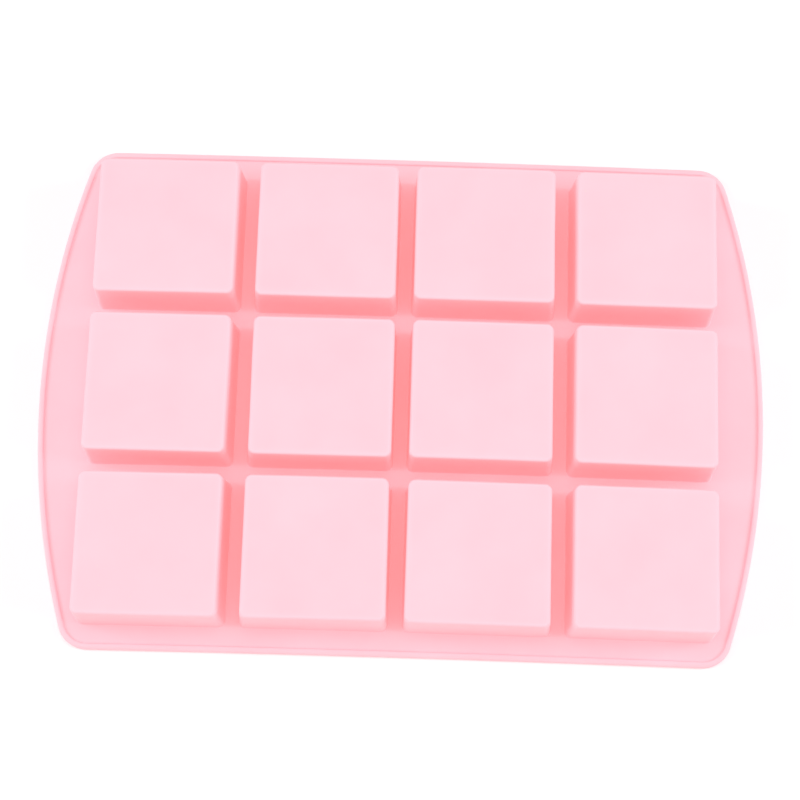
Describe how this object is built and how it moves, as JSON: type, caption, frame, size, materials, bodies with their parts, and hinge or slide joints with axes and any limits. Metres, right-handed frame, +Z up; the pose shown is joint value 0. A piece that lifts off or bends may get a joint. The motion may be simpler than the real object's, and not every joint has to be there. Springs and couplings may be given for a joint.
{
  "type": "soap bar mould tray",
  "caption": "Flexible silicone tray mould with a grid of square cavities for casting soap bars, bowed ends and a thin raised edge bead, lying mouth side down.",
  "frame": {"origin": "centre of the mouth face, which is the face that the tray lies on here; the bottom centre of its box", "axes": "+Z up, out through the outsides of the cavity floors; +X along the row of four cavities; +Y along the column of three"},
  "size_m": [0.32, 0.226, 0.027],
  "materials": {
    "silicone": "satin"
  },
  "bodies": {
    "root": {"connecting_sheet": "silicone", "edge_bead": "silicone", "cavity_row1_column1": "silicone", "cavity_row1_column2": "silicone", "cavity_row1_column3": "silicone", "cavity_row1_column4": "silicone", "cavity_row2_column1": "silicone", "cavity_row2_column2": "silicone", "cavity_row2_column3": "silicone", "cavity_row2_column4": "silicone", "cavity_row3_column1": "silicone", "cavity_row3_column2": "silicone", "cavity_row3_column3": "silicone", "cavity_row3_column4": "silicone"}
  },
  "joints": []
}
